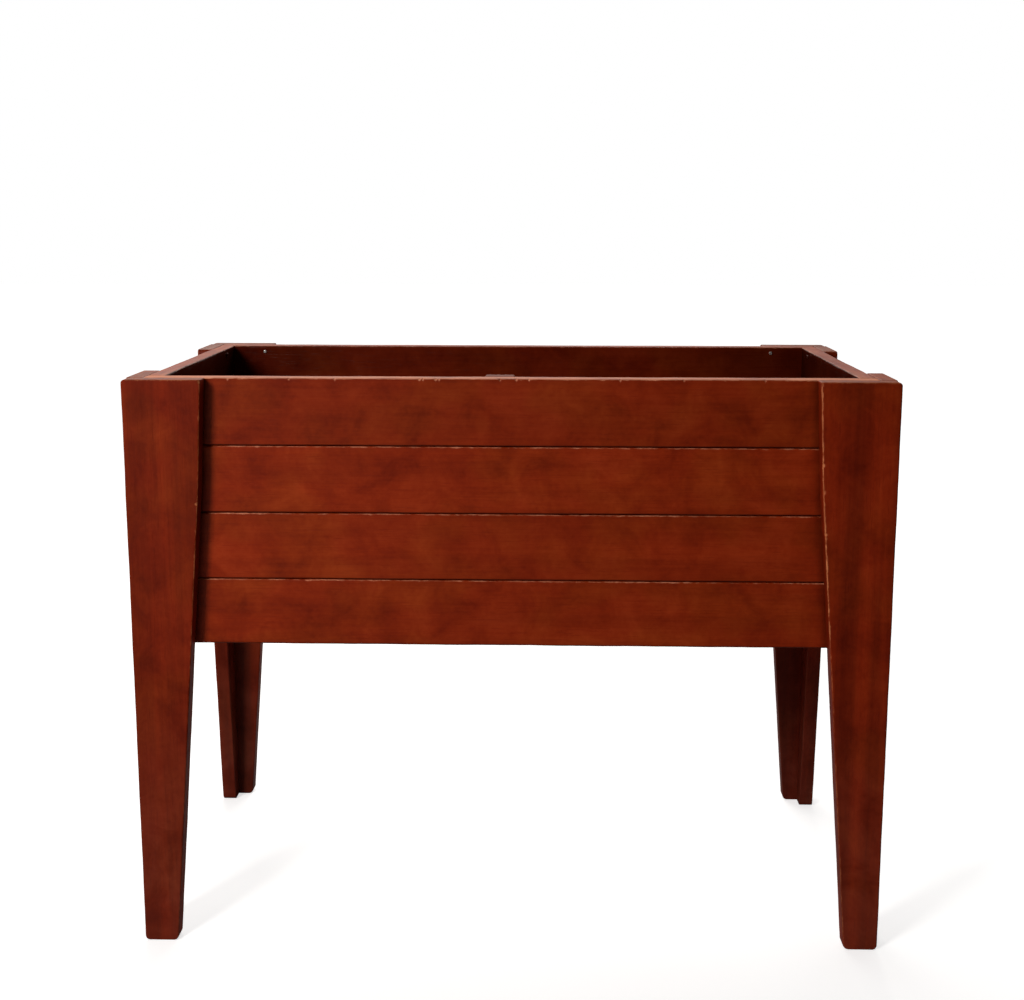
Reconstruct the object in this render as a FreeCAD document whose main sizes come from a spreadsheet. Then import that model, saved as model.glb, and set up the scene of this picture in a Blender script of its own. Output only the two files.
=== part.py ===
"""Raised wooden planter on four legs: an open-topped box of stacked boards, carried by
L-shaped legs of two tapered boards each, with a slatted floor on cleats.

Millimetres. +Z is up, +X runs along the long side, -Y is the front. The origin is on the
ground, midway between the four feet.
"""
import FreeCAD, Part

import math
import os

import Sketcher

OUTPUT_FOLDER = "parts"

# Driving dimensions, in the order in which the sheet lists them.
DRIVING_SIZES = {
    "width": 900,
    "depth": 420,
    "height": 700,
    "wall_thickness": 20,
    "wall_board_pitch": 81,
    "wall_board_gap": 0.5,
    "leg_thickness": 20,
    "leg_top_width": 93,
    "leg_knee_width": 86.5,
    "leg_knee_height": 572,
    "leg_foot_width": 41,
    "foot_corner_radius": 6,
    "arris_radius": 1.5,
    "batten_width": 35,
    "batten_thickness": 20,
    "front_batten_shift": 12,
    "rear_batten_drop": 55,
    "cleat_size": 25,
    "slat_thickness": 15,
    "slat_gap": 8,
    "slat_end_clearance": 1,
    "screw_head_diameter": 8,
    "screw_shank_diameter": 4,
    "screw_head_sink": 0.2,
    "screw_tip_length": 5,
    "screw_recess_width": 1.1,
    "screw_recess_span": 4.6,
    "screw_recess_depth": 1.4,
    "screw_hole_diameter": 4.4,
    "screw_pilot_clearance": 1,
    "wall_screw_head_diameter": 5,
    "wall_screw_head_height": 1.8,
    "wall_screw_shank_diameter": 3,
    "wall_screw_recess_width": 0.7,
    "wall_screw_recess_span": 3,
    "wall_screw_recess_depth": 0.9,
    "wall_screw_hole_diameter": 3.4,
    "wall_screw_drop": 8.5,
    "leg_screw_inset": 8,
    "batten_screw_length": 35,
    "wall_screw_length": 35,
    "cleat_screw_length": 40,
    "slat_screw_length": 30,
}
COUNTERSINK_MARGIN = 0.8
COUNTERSINK_ANGLE = 90
LEAST_CUT_VOLUME = 0.5
SAME_PLACE = 1e-6
SLAT_COUNT = 9
TIERS = ("top", "upper", "lower", "bottom")

# Each wall faces inwards; its angle turns the rear wall's frame about +Z into its own.
WALL_ANGLES = {"rear": 0, "left": 90, "front": 180, "right": 270}

doc = FreeCAD.newDocument("raised_planter")
sheet = doc.addObject("Spreadsheet::Sheet", "Sizes")
for row, (alias, size) in enumerate(DRIVING_SIZES.items(), start=1):
    sheet.set(f"A{row}", alias)
    sheet.set(f"B{row}", str(size))
    sheet.setAlias(f"B{row}", alias)
doc.recompute()

# Derived sizes, as expressions over the sheet.
HALF_WIDTH = "(Sizes.width / 2)"
HALF_DEPTH = "(Sizes.depth / 2)"
BOX_HALF_WIDTH = "(Sizes.width / 2 - Sizes.leg_thickness)"
BOX_HALF_DEPTH = "(Sizes.depth / 2 - Sizes.leg_thickness)"
INNER_HALF_WIDTH = "(Sizes.width / 2 - Sizes.leg_thickness - Sizes.wall_thickness)"
INNER_HALF_DEPTH = "(Sizes.depth / 2 - Sizes.leg_thickness - Sizes.wall_thickness)"
BOARD_HEIGHT = "(Sizes.wall_board_pitch - Sizes.wall_board_gap)"
BOX_BOTTOM = f"(Sizes.height - {len(TIERS)} * Sizes.wall_board_pitch + Sizes.wall_board_gap)"
CLEAT_TOP = f"({BOX_BOTTOM} + Sizes.cleat_size)"
FLOOR_TOP = f"({CLEAT_TOP} + Sizes.slat_thickness)"
SLAT_PITCH = f"(2 * {INNER_HALF_WIDTH} / {SLAT_COUNT})"
CLEAT_SCREW_PLACES = [f"({step} * {SLAT_PITCH})" for step in (-3.5, -1.5, 1.5, 3.5)]

sub_parts = []


def number(expression):
    """The value in millimetres of an expression over the sheet."""
    value = sheet.evalExpression(expression)
    return float(getattr(value, "Value", value))


def board_middle(tier):
    """The height above the ground of the middle of one tier of wall boards."""
    return f"(Sizes.height - {tier} * Sizes.wall_board_pitch - {BOARD_HEIGHT} / 2)"


def origin_plane(body, role):
    return next(plane for plane in body.Origin.OriginFeatures if plane.Role == role)


def new_body(label):
    body = doc.addObject("PartDesign::Body", label)
    body.Label = label
    return body


def new_sketch(body, name, role="XY_Plane"):
    sketch = body.newObject("Sketcher::SketchObject", name)
    sketch.AttachmentSupport = [(origin_plane(body, role), "")]
    sketch.MapMode = "FlatFace"
    return sketch


def pin_point(sketch, geometry, vertex, x, y):
    """Holds one point of a sketch at two expressions, measured from the sketch's origin."""
    for kind, axis, expression in (("DistanceX", -2, x), ("DistanceY", -1, y)):
        distance = number(expression)
        if distance == 0:
            sketch.addConstraint(Sketcher.Constraint("PointOnObject", geometry, vertex, axis))
            continue
        index = sketch.addConstraint(
            Sketcher.Constraint(kind, -1, 1, geometry, vertex, distance)
        )
        sketch.setExpression(f"Constraints[{index}]", expression)


def draw_polygon(sketch, corners):
    """Draws a closed outline through corners given as pairs of expressions."""
    points = [FreeCAD.Vector(number(x), number(y), 0) for x, y in corners]
    count = len(points)
    for index in range(count):
        sketch.addGeometry(Part.LineSegment(points[index], points[(index + 1) % count]))
    for index in range(count):
        following = (index + 1) % count
        sketch.addConstraint(Sketcher.Constraint("Coincident", index, 2, following, 1))
    for index, (x, y) in enumerate(corners):
        pin_point(sketch, index, 1, x, y)


def draw_circles(sketch, centres, diameter):
    for x, y in centres:
        centre = FreeCAD.Vector(number(x), number(y), 0)
        index = sketch.addGeometry(
            Part.Circle(centre, FreeCAD.Vector(0, 0, 1), number(diameter) / 2)
        )
        radius = sketch.addConstraint(
            Sketcher.Constraint("Diameter", index, number(diameter))
        )
        sketch.setExpression(f"Constraints[{radius}]", diameter)
        pin_point(sketch, index, 3, x, y)


def pad_outline(body, corners, thickness):
    """A board whose marked face lies in its XY plane, with its thickness below it."""
    sketch = new_sketch(body, "Outline")
    draw_polygon(sketch, corners)
    pad = body.newObject("PartDesign::Pad", "Board")
    pad.Profile = sketch
    pad.Reversed = True
    pad.setExpression("Length", thickness)
    doc.recompute()
    return pad


def rectangle(half_length, low, high):
    """The corners of a rectangle that is centred on x, between two levels in y."""
    return [
        (f"-{half_length}", low),
        (half_length, low),
        (half_length, high),
        (f"-{half_length}", high),
    ]


def round_edges(body, base, names, radius):
    fillet = body.newObject("PartDesign::Fillet", "Rounding")
    fillet.Base = (base, names)
    fillet.setExpression("Radius", radius)
    doc.recompute()
    return fillet


def edge_names(feature, wanted):
    """The names of the feature's edges whose vertices all satisfy a test."""
    return [
        f"Edge{index}"
        for index, edge in enumerate(feature.Shape.Edges, start=1)
        if wanted([vertex.Point for vertex in edge.Vertexes])
    ]


def ease_every_edge(body, base):
    names = [f"Edge{index}" for index in range(1, len(base.Shape.Edges) + 1)]
    return round_edges(body, base, names, "Sizes.arris_radius")


def require_less_material(body, before, cut_name):
    """Stops if a cut has missed the body, which would otherwise pass unnoticed."""
    if not body.Shape.Volume < before - LEAST_CUT_VOLUME:
        raise RuntimeError(f"{body.Label}: {cut_name} cuts nothing")


def drill(
    body,
    name,
    centres,
    diameter,
    depth=None,
    countersink=None,
    role="XY_Plane",
    backwards=False,
):
    """Drills round holes from an origin plane, right through unless a depth is given."""
    sketch = new_sketch(body, f"{name}_places", role)
    draw_circles(sketch, centres, diameter)
    doc.recompute()
    before = body.Shape.Volume
    hole = body.newObject("PartDesign::Hole", name)
    hole.Profile = sketch
    hole.Reversed = backwards
    hole.DrillPoint = "Flat"
    hole.setExpression("Diameter", diameter)
    if depth is None:
        hole.DepthType = "ThroughAll"
    else:
        hole.DepthType = "Dimension"
        hole.setExpression("Depth", depth)
    if countersink:
        hole.HoleCutType = "Countersink"
        hole.HoleCutCustomValues = True
        hole.HoleCutCountersinkAngle = COUNTERSINK_ANGLE
        hole.setExpression("HoleCutDiameter", countersink)
    doc.recompute()
    require_less_material(body, before, name)


def drill_screw_holes(body, centres):
    """Countersunk clearance holes, with their heads on the board's marked face."""
    drill(
        body,
        "Screw_holes",
        centres,
        "Sizes.screw_hole_diameter",
        countersink=f"Sizes.screw_head_diameter + {COUNTERSINK_MARGIN}",
    )


def drill_pilot_holes(
    body,
    centres,
    depth,
    diameter="Sizes.screw_hole_diameter",
    role="XY_Plane",
    backwards=False,
):
    """Blind holes for the screws' points, a little deeper than the screws reach."""
    drill(
        body,
        "Pilot_holes",
        centres,
        diameter,
        depth=f"{depth} + Sizes.screw_pilot_clearance",
        role=role,
        backwards=backwards,
    )


def outward(angle):
    """The unit vector that points out of the wall at this angle."""
    turn = math.radians(angle)
    return FreeCAD.Vector(-math.sin(turn), math.cos(turn), 0)


def stand_facing_inwards(body, angle, distance, height="0"):
    """Stands a board up, its marked face towards the planter's middle."""
    spin = FreeCAD.Rotation(FreeCAD.Vector(0, 0, 1), angle)
    upright = FreeCAD.Rotation(FreeCAD.Vector(1, 0, 0), 90)
    body.Placement = FreeCAD.Placement(FreeCAD.Vector(), spin * upright)
    direction = outward(angle)
    body.setExpression("Placement.Base.x", f"{round(direction.x)} * {distance}")
    body.setExpression("Placement.Base.y", f"{round(direction.y)} * {distance}")
    body.setExpression("Placement.Base.z", height)


def finish(body):
    body.Tip = [item for item in body.Group if item.isDerivedFrom("PartDesign::Feature")][-1]
    doc.recompute()
    sub_parts.append(body)


def is_long(wall):
    return wall in ("front", "rear")


def inner_distance(wall):
    return INNER_HALF_DEPTH if is_long(wall) else INNER_HALF_WIDTH


def wall_corner(wall):
    """How far along the wall's local x the planter's corner is."""
    return HALF_WIDTH if is_long(wall) else HALF_DEPTH


def leg_width(height):
    """How far a leg's tapered board reaches from its corner, at a height above ground."""
    if number(height) > number("Sizes.leg_knee_height"):
        return (
            "(Sizes.leg_knee_width + (Sizes.leg_top_width - Sizes.leg_knee_width)"
            f" * ({height} - Sizes.leg_knee_height) / (Sizes.height - Sizes.leg_knee_height))"
        )
    return (
        "(Sizes.leg_foot_width + (Sizes.leg_knee_width - Sizes.leg_foot_width)"
        f" * ({height}) / Sizes.leg_knee_height)"
    )


def wall_screw_places(wall, tier):
    """The screws that fix a wall board to its legs, along local x and above ground.

    Two at each end, near the board's long edges, just inside the leg's tapered edge. The
    bottom board's lower ones clear the floor.
    """
    rise = f"({BOARD_HEIGHT} / 2 - Sizes.wall_screw_drop)"
    heights = [f"({board_middle(tier)} {sign} {rise})" for sign in "-+"]
    if TIERS[tier] == "bottom":
        heights[0] = f"({FLOOR_TOP} + Sizes.wall_screw_drop)"
    return [
        (f"{side} * ({wall_corner(wall)} - {leg_width(height)} + Sizes.leg_screw_inset)",
         height)
        for side in (-1, 1)
        for height in heights
    ]


def batten_place(wall):
    """Where the centre batten lies along its own wall's local x."""
    return "Sizes.front_batten_shift" if wall == "front" else "0"


def batten_screw_rise(wall, tier):
    """The height of the batten's screw in one tier, above that board's middle."""
    if tier == 0 and wall == "rear":
        return "(-Sizes.wall_board_pitch / 3)"
    if tier == len(TIERS) - 1:
        return "(Sizes.wall_board_pitch / 4)"
    return "0"


def make_wall_board(wall, tier):
    """One horizontal wall board. The long boards cover the ends of the short ones."""
    body = new_body(f"{wall}_wall_board_{TIERS[tier]}")
    half_length = BOX_HALF_WIDTH if is_long(wall) else INNER_HALF_DEPTH
    corners = rectangle(half_length, f"-{BOARD_HEIGHT} / 2", f"{BOARD_HEIGHT} / 2")
    ease_every_edge(body, pad_outline(body, corners, "Sizes.wall_thickness"))
    places = [(x, f"{z} - {board_middle(tier)}") for x, z in wall_screw_places(wall, tier)]
    drill(body, "Wall_screw_holes", places, "Sizes.wall_screw_hole_diameter")
    if is_long(wall):
        pilots = [(batten_place(wall), batten_screw_rise(wall, tier))]
        if TIERS[tier] == "bottom":
            level = f"(Sizes.cleat_size - {BOARD_HEIGHT}) / 2"
            pilots += [(place, level) for place in CLEAT_SCREW_PLACES]
        drill_pilot_holes(body, pilots, "(Sizes.batten_screw_length - Sizes.batten_thickness)")
    stand_facing_inwards(body, WALL_ANGLES[wall], inner_distance(wall), board_middle(tier))
    finish(body)


def make_leg_board(wall, hand, label):
    """One tapered board of an L-shaped leg, flat against the outside of a wall.

    hand is the end of the wall, -1 or 1 along the wall's local x. A leg's front or rear
    board reaches the corner, and its side board stops behind it.
    """
    body = new_body(label)
    corner = wall_corner(wall)
    start = corner if is_long(wall) else BOX_HALF_DEPTH
    corners = [
        (f"{hand} * {start}", "0"),
        (f"{hand} * {start}", "Sizes.height"),
        (f"{hand} * ({corner} - Sizes.leg_top_width)", "Sizes.height"),
        (f"{hand} * ({corner} - Sizes.leg_knee_width)", "Sizes.leg_knee_height"),
        (f"{hand} * ({corner} - Sizes.leg_foot_width)", "0"),
    ]
    pad = pad_outline(body, corners, "Sizes.leg_thickness")
    start_x = number(f"{hand} * {start}")
    top = number("Sizes.height")
    thickness = number("Sizes.leg_thickness")

    def is_rounded_corner(points):
        if len({round(point.z, 3) for point in points}) == 1:
            return False
        x, y = points[0].x, points[0].y
        on_ground = abs(y) < SAME_PLACE
        at_start = abs(x - start_x) < SAME_PLACE
        inner_top = abs(y - top) < SAME_PLACE and not at_start
        if is_long(wall):
            return on_ground
        return (on_ground and not at_start) or inner_top

    rounded = round_edges(
        body, pad, edge_names(pad, is_rounded_corner), "Sizes.foot_corner_radius"
    )

    def is_face_edge(points):
        levels = {round(point.z, 3) for point in points}
        return levels == {0.0} or levels == {round(-thickness, 3)}

    round_edges(body, rounded, edge_names(rounded, is_face_edge), "Sizes.arris_radius")
    pilots = [
        (x, z)
        for tier in range(len(TIERS))
        for x, z in wall_screw_places(wall, tier)
        if number(x) * hand > 0
    ]
    drill_pilot_holes(
        body,
        pilots,
        "(Sizes.wall_screw_length - Sizes.wall_thickness)",
        "Sizes.wall_screw_hole_diameter",
    )
    distance = BOX_HALF_DEPTH if is_long(wall) else BOX_HALF_WIDTH
    stand_facing_inwards(body, WALL_ANGLES[wall], distance)
    finish(body)


def make_batten(wall):
    """The upright inside a long wall that ties its four boards together."""
    body = new_body(f"{wall}_centre_batten")
    top = "Sizes.height" if wall == "front" else "(Sizes.height - Sizes.rear_batten_drop)"
    half_width = "Sizes.batten_width / 2"
    corners = rectangle(half_width, FLOOR_TOP, top)
    ease_every_edge(body, pad_outline(body, corners, "Sizes.batten_thickness"))
    rises = [
        f"{board_middle(tier)} + {batten_screw_rise(wall, tier)}"
        for tier in range(len(TIERS))
    ]
    drill_screw_holes(body, [("0", rise) for rise in rises])
    stand_facing_inwards(
        body, WALL_ANGLES[wall], f"({INNER_HALF_DEPTH} - Sizes.batten_thickness)"
    )
    if wall == "front":
        body.setExpression("Placement.Base.x", "-Sizes.front_batten_shift")
    finish(body)


def make_cleat(wall):
    """The square rail inside a long wall's lower edge that carries the floor slats."""
    body = new_body(f"{wall}_floor_cleat")
    half_length = f"({INNER_HALF_WIDTH} - Sizes.slat_end_clearance)"
    corners = rectangle(half_length, "-Sizes.cleat_size", "0")
    ease_every_edge(body, pad_outline(body, corners, "Sizes.cleat_size"))
    middle = "-Sizes.cleat_size / 2"
    drill_screw_holes(body, [(place, middle) for place in CLEAT_SCREW_PLACES])
    slat_places = [(slat_middle(index), middle) for index in range(SLAT_COUNT)]
    drill_pilot_holes(
        body,
        slat_places,
        "(Sizes.slat_screw_length - Sizes.slat_thickness)",
        role="XZ_Plane",
        backwards=True,
    )
    stand_facing_inwards(
        body, WALL_ANGLES[wall], f"({INNER_HALF_DEPTH} - Sizes.cleat_size)", CLEAT_TOP
    )
    finish(body)


def slat_middle(index):
    """The place along the planter of the middle of one floor slat."""
    return f"{index - (SLAT_COUNT - 1) / 2} * {SLAT_PITCH}"


def make_slat(index):
    """One floor slat, from the front cleat to the rear one, its screws from above."""
    body = new_body(f"floor_slat_{index + 1}")
    half_width = f"({SLAT_PITCH} - Sizes.slat_gap) / 2"
    half_length = f"({INNER_HALF_DEPTH} - Sizes.slat_end_clearance)"
    corners = rectangle(half_width, f"-{half_length}", half_length)
    ease_every_edge(body, pad_outline(body, corners, "Sizes.slat_thickness"))
    reach = f"({INNER_HALF_DEPTH} - Sizes.cleat_size / 2)"
    drill_screw_holes(body, [("0", f"{side} * {reach}") for side in (-1, 1)])
    body.setExpression("Placement.Base.x", slat_middle(index))
    body.setExpression("Placement.Base.z", FLOOR_TOP)
    finish(body)


def turn_screw(label, outline, recess):
    """A cross-recessed screw along -Z, turned from its half outline.

    The head's top is at the origin. The recess is given as its span, width and depth.
    """
    body = new_body(label)
    profile = new_sketch(body, "Profile", "XZ_Plane")
    draw_polygon(profile, outline)
    turned = body.newObject("PartDesign::Revolution", "Turned")
    turned.Profile = profile
    turned.ReferenceAxis = (profile, ["V_Axis"])
    turned.Angle = 360
    doc.recompute()
    half_span, half_width, depth = f"{recess[0]} / 2", f"{recess[1]} / 2", recess[2]
    for name, half_x, half_y in (
        ("Recess_across", half_span, half_width),
        ("Recess_along", half_width, half_span),
    ):
        before = body.Shape.Volume
        slot = new_sketch(body, f"{name}_outline")
        draw_polygon(slot, rectangle(half_x, f"-{half_y}", half_y))
        pocket = body.newObject("PartDesign::Pocket", name)
        pocket.Profile = slot
        pocket.setExpression("Length", depth)
        doc.recompute()
        require_less_material(body, before, name)
    return body


def make_countersunk_screw(label, length):
    """A countersunk wood screw of this length, measured over its head."""
    head_radius = "Sizes.screw_head_diameter / 2"
    shank_radius = "Sizes.screw_shank_diameter / 2"
    neck = "-(Sizes.screw_head_diameter - Sizes.screw_shank_diameter) / 2"
    outline = [
        ("0", "0"),
        (head_radius, "0"),
        (shank_radius, neck),
        (shank_radius, f"-({length} - Sizes.screw_tip_length)"),
        ("0", f"-({length})"),
    ]
    recess = ("Sizes.screw_recess_span", "Sizes.screw_recess_width", "Sizes.screw_recess_depth")
    return turn_screw(label, outline, recess)


def make_round_head_screw(label, length):
    """A small wood screw with a raised round head, of this length under the head."""
    head_radius = "Sizes.wall_screw_head_diameter / 2"
    shank_radius = "Sizes.wall_screw_shank_diameter / 2"
    height = "Sizes.wall_screw_head_height"
    outline = [
        ("0", "0"),
        (f"{head_radius} * 0.65", "0"),
        (f"{head_radius} * 0.92", f"-{height} * 0.3"),
        (head_radius, f"-{height} * 0.7"),
        (head_radius, f"-{height}"),
        (shank_radius, f"-{height}"),
        (shank_radius, f"-({height} + {length} - Sizes.screw_tip_length)"),
        ("0", f"-({height} + {length})"),
    ]
    recess = (
        "Sizes.wall_screw_recess_span",
        "Sizes.wall_screw_recess_width",
        "Sizes.wall_screw_recess_depth",
    )
    return turn_screw(label, outline, recess)


def make_screw_group(label, master, seats, rise):
    """Copies of one screw as separate solids; a seat is a place on a face and the way out.

    The rise is how far the heads' tops stand above the face.
    """
    solids = []
    for place, direction in seats:
        turn = FreeCAD.Rotation(FreeCAD.Vector(0, 0, 1), direction)
        screw = master.Shape.copy()
        screw.Placement = FreeCAD.Placement(place + direction * number(rise), turn)
        solids.append(screw)
    group = doc.addObject("Part::Feature", label)
    group.Label = label
    group.Shape = Part.makeCompound(solids)
    group.Placement = FreeCAD.Placement()
    sub_parts.append(group)


def wall_screw_seats(wall):
    """The seats of the screws that hold one wall's boards to the legs outside them."""
    inwards = outward(WALL_ANGLES[wall]) * -1
    along = FreeCAD.Vector(0, 0, 1).cross(inwards)
    return [
        (along * number(x) - inwards * number(inner_distance(wall))
         + FreeCAD.Vector(0, 0, number(z)), inwards)
        for tier in range(len(TIERS))
        for x, z in wall_screw_places(wall, tier)
    ]


def batten_screw_seats(wall):
    inwards = outward(WALL_ANGLES[wall]) * -1
    face = number(f"{INNER_HALF_DEPTH} - Sizes.batten_thickness")
    shift = -number("Sizes.front_batten_shift") if wall == "front" else 0
    heights = [
        number(f"{board_middle(tier)} + {batten_screw_rise(wall, tier)}")
        for tier in range(len(TIERS))
    ]
    return [
        (FreeCAD.Vector(shift, 0, height) - inwards * face, inwards) for height in heights
    ]


def cleat_screw_seats(wall):
    inwards = outward(WALL_ANGLES[wall]) * -1
    face = number(f"{INNER_HALF_DEPTH} - Sizes.cleat_size")
    height = number(f"{CLEAT_TOP} - Sizes.cleat_size / 2")
    return [
        (FreeCAD.Vector(number(place), 0, height) - inwards * face, inwards)
        for place in CLEAT_SCREW_PLACES
    ]


def slat_screw_seats():
    upwards = FreeCAD.Vector(0, 0, 1)
    reach = number(f"{INNER_HALF_DEPTH} - Sizes.cleat_size / 2")
    height = number(FLOOR_TOP)
    return [
        (FreeCAD.Vector(number(slat_middle(index)), side * reach, height), upwards)
        for index in range(SLAT_COUNT)
        for side in (-1, 1)
    ]


def make_legs():
    """Four legs: each has a board on a long wall's face and one on a short wall's face."""
    for end in ("front", "rear"):
        for side in ("left", "right"):
            leg = f"{end}_{side}_leg"
            towards_x = -1 if side == "left" else 1
            towards_y = -1 if end == "front" else 1
            long_hand = towards_x if end == "rear" else -towards_x
            short_hand = towards_y if side == "left" else -towards_y
            make_leg_board(end, long_hand, f"{leg}_{end}_board")
            make_leg_board(side, short_hand, f"{leg}_side_board")


def make_screws():
    wall_screw = make_round_head_screw("wall_screw_master", "Sizes.wall_screw_length")
    batten_screw = make_countersunk_screw("batten_screw_master", "Sizes.batten_screw_length")
    cleat_screw = make_countersunk_screw("cleat_screw_master", "Sizes.cleat_screw_length")
    slat_screw = make_countersunk_screw("slat_screw_master", "Sizes.slat_screw_length")
    flush = "-Sizes.screw_head_sink"
    for wall in WALL_ANGLES:
        seats = wall_screw_seats(wall)
        make_screw_group(f"{wall}_wall_screws", wall_screw, seats, "Sizes.wall_screw_head_height")
    for wall in ("front", "rear"):
        make_screw_group(f"{wall}_batten_screws", batten_screw, batten_screw_seats(wall), flush)
        make_screw_group(f"{wall}_cleat_screws", cleat_screw, cleat_screw_seats(wall), flush)
    make_screw_group("slat_screws", slat_screw, slat_screw_seats(), flush)


def check_document():
    """Stops if any object failed, or if a sub-part isn't made of sound closed solids."""
    for item in doc.Objects:
        if "Invalid" in item.State or "Error" in item.State:
            raise RuntimeError(f"{item.Label} did not compute: {item.State}")
    for part in sub_parts:
        shape = part.Shape
        if shape.isNull() or not shape.isValid() or not shape.Solids:
            raise RuntimeError(f"{part.Label} has no valid solid")


for wall in WALL_ANGLES:
    for tier in range(len(TIERS)):
        make_wall_board(wall, tier)
make_legs()
for wall in ("front", "rear"):
    make_batten(wall)
    make_cleat(wall)
for index in range(SLAT_COUNT):
    make_slat(index)
make_screws()
doc.recompute()
check_document()

os.makedirs(OUTPUT_FOLDER, exist_ok=True)
for part in sub_parts:
    part.Shape.exportStep(os.path.join(OUTPUT_FOLDER, f"{part.Label}.step"))
print(f"{len(sub_parts)} sub-parts written")
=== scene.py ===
"""Looks of the raised planter on legs: stained timber round the fixed CAD frame.

Every board of the frame is replaced by a finer mesh of the same size: eased arrises that wander,
chips, slightly uneven faces, and seats drilled for the screws. The screws are replaced by
threaded ones. Lengths are metres in the frame's axes: +Z up, +X along the planter, -Y its front.
"""

import math

import bmesh
import bpy
import numpy as np
from mathutils import Matrix, Vector


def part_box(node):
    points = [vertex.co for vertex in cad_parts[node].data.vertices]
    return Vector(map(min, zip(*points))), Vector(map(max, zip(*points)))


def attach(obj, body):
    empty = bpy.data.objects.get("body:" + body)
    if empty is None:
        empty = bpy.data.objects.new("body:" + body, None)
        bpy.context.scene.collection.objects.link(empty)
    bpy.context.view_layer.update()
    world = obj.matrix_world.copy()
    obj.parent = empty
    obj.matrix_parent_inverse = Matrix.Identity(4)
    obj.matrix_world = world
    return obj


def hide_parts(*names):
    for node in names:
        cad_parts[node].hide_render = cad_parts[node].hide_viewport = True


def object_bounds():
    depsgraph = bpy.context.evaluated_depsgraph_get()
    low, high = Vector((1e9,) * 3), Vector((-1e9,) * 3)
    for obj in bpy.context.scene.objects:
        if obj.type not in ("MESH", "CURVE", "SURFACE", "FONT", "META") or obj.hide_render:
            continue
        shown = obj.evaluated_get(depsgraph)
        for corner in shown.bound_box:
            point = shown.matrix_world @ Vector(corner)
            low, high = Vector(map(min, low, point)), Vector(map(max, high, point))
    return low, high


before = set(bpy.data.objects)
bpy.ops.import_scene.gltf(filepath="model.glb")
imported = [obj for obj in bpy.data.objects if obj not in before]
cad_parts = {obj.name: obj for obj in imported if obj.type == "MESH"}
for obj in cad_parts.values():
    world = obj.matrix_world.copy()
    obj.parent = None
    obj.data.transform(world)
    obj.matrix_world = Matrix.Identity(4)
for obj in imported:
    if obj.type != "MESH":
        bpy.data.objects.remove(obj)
cad_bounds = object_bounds()

MM = 0.001
X, Y, Z = 0, 1, 2
SIDES = ("front", "rear", "left", "right")
TIERS = ("top", "upper", "lower", "bottom")

# How the timber's mesh is built.
ARRIS_RADIUS = 1.7 * MM
ARRIS_WANDER = 0.45
ARC_STEPS = 4
SUPPORT = 1.2 * MM
EDGE_ROWS = (1.2 * MM, 2.8 * MM, 5.0 * MM)
FACE_STEP = 11 * MM
STATION_STEP = 6 * MM
UNEVENNESS = 0.22 * MM
SHARP_ANGLE = math.radians(38)
STATION_GAP = 0.12 * MM
FACE_DEPTH = 1 * MM

# The legs' outline.
LEG_TOP_WIDTH = 93 * MM
LEG_KNEE_WIDTH = 86.5 * MM
LEG_FOOT_WIDTH = 41 * MM
LEG_KNEE_HEIGHT = 572 * MM
CORNER_RADIUS = 6 * MM
TOP_RADIUS = 4.5 * MM
# Up to the first height a leg's arrises are hardly rubbed, and from the second they fully are.
RUBBED_HEIGHTS = (300 * MM, 460 * MM)
LEAST_RUBBED = 0.25

# Screws. Clearance is all round a shank, and room is left past its point.
CLEARANCE = 0.2 * MM
SINK_CLEARANCE = 0.55 * MM
SINK_FLARE = 0.8 * MM
POINT_ROOM = 1 * MM
LARGEST_ROUND_HEAD = 3 * MM
ROUND_HEAD_HEIGHT = 1.8 * MM
ROUND_SHANK = 1.5 * MM
SUNK_SHANK = 2 * MM
ROUND_SEGMENTS = 20
THREAD_PITCH = 1.5 * MM
THREAD_CORE = 0.72
PLAIN_SHANK = 4 * MM
TAPERED_TIP = 5 * MM
THREADLESS_TIP = 1.2 * MM
TIP_RADIUS = 0.08 * MM
# The cross recess of each kind of head: how far it reaches, half its width, and its depth.
ROUND_RECESS = (1.5 * MM, 0.35 * MM, 0.9 * MM)
SUNK_RECESS = (2.3 * MM, 0.55 * MM, 1.4 * MM)

# Painted shade: how much darker the colour is made inside the planter, in its corners,
# beside the legs and on the rear legs, standing in for the shade that falls there.
INSIDE_PAINTED_SHADE = 0.495
END_INSIDE_PAINTED_SHADE = 0.20
PAINTED_SHADE_FACE = 0.5
# Painted shade deepens towards the inside corners, over this reach.
CORNER_PAINTED_SHADE = 0.45
CORNER_REACH = 200 * MM
# Painted shade on a wall's outer face beside a leg, over this reach.
TUCK_PAINTED_SHADE = 0.45
TUCK_REACH = 9 * MM
# Painted shade on the legs' inner faces and the rear legs' edges, deeper on the rear legs, which
# get less light.
LEG_INSIDE_PAINTED_SHADE = {"front": 0.62, "rear": 0.52}
LEG_EDGE_PAINTED_SHADE = {"front": 1.0, "rear": 0.6}
# The battens, cleats and floor slats are painted a little lighter: painted light in the shaded
# inside.
FLOOR_PAINTED_LIGHT = 1.1
# Boards whose outer face took the stain lighter than the others, and by how much.
PALER_BOARDS = {"front_wall_board_lower": 1.12, "rear_wall_board_upper": 1.08}

# Painted seam shade, dust, and how far the stain is rubbed through: 1 is quite, above 1 is wider,
# and below 0 is painted shade in a seam instead.
SEAM_SHADE_COLOUR = (0.022, 0.0045, 0.0020)
DUST = (0.44, 0.27, 0.21)
DUST_HEIGHT = 330 * MM
LEAST_DUST_HEIGHT = 1 * MM
OUTER_SEAM_PAINTED_SHADE = -0.85
SEAM_WEAR = 0.85
INSIDE_RIM_WEAR = 0.5
INSIDE_SEAM_PAINTED_SHADE = -0.4
BOARD_END_WEAR = 0.3
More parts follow.
